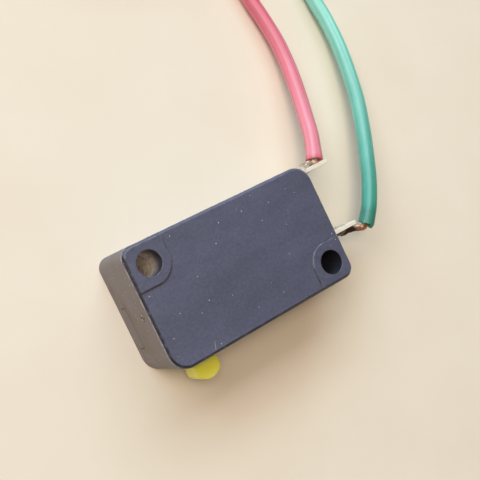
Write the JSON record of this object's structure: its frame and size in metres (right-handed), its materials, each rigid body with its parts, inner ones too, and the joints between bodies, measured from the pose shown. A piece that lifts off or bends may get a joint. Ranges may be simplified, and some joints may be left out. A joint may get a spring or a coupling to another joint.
{
  "type": "micro switch",
  "caption": "Snap-action micro switch: dark moulded case with diagonal mounting holes, yellow pin plunger, soldered tabs and coiled red and green leads.",
  "frame": {"origin": "on the axis of the mounting hole at the terminal end, on the back face of the cover", "axes": "+X along the case towards the terminals, +Y away from the plunger side, +Z through the thickness towards the front face"},
  "size_m": [0.0486, 0.0844, 0.0103],
  "materials": {
    "case_plastic": "moulded, satin",
    "cover_plastic": "moulded, satin",
    "plunger_plastic": "moulded",
    "tinned_brass": "tin plated",
    "contact_silver": "polished",
    "spring_copper": "rolled strip",
    "lever_brass": "stamped",
    "spring_steel": "drawn wire",
    "copper_strands": "twisted strands",
    "solder": "soldered",
    "red_insulation": "extruded, satin",
    "green_insulation": "extruded, satin",
    "tie_plastic": "moulded",
    "tinned_strands": "tinned"
  },
  "bodies": {
    "housing": {"case": "case_plastic", "cover": "cover_plastic", "common_terminal": "tinned_brass", "fixed_terminal": "tinned_brass", "fixed_contact": "contact_silver", "red_conductor": "copper_strands", "green_conductor": "copper_strands", "common_solder": "solder", "fixed_solder": "solder", "red_lead": "red_insulation", "green_lead": "green_insulation", "red_coil": "red_insulation", "green_coil": "green_insulation", "lead_tie": "tie_plastic", "red_lead_end": "tinned_strands", "green_lead_end": "tinned_strands"},
    "plunger": {"plunger": "plunger_plastic"},
    "lever": {"actuating_lever": "lever_brass"},
    "arm": {"moving_arm": "spring_copper", "moving_contact": "contact_silver", "snap_spring": "spring_steel"}
  },
  "joints": [
    {"name": "plunger_slide", "type": "slide", "parent": "housing", "child": "plunger", "axis": [0, 1, 0], "range_m": [0, 0.0016], "stiffness_N_per_m": 1200, "springref_m": -0.0006},
    {"name": "lever_pivot", "type": "hinge", "parent": "housing", "child": "lever", "pos_m": [-0.013, 0.0078, 0.00515], "axis": [0, 0, -1], "range_deg": [0, 11.7]},
    {"name": "arm_pivot", "type": "hinge", "parent": "housing", "child": "arm", "pos_m": [-0.0175, 0.0052, 0.00515], "axis": [0, 0, 1], "range_deg": [0, 3.95], "deforming": ["snap_spring"]}
  ],
  "couplings": [
    {"joint": "lever_pivot", "follows": "plunger_slide", "rad_per_m": 126.5},
    {"joint": "arm_pivot", "follows": "plunger_slide", "rad_per_m": 42.4}
  ]
}
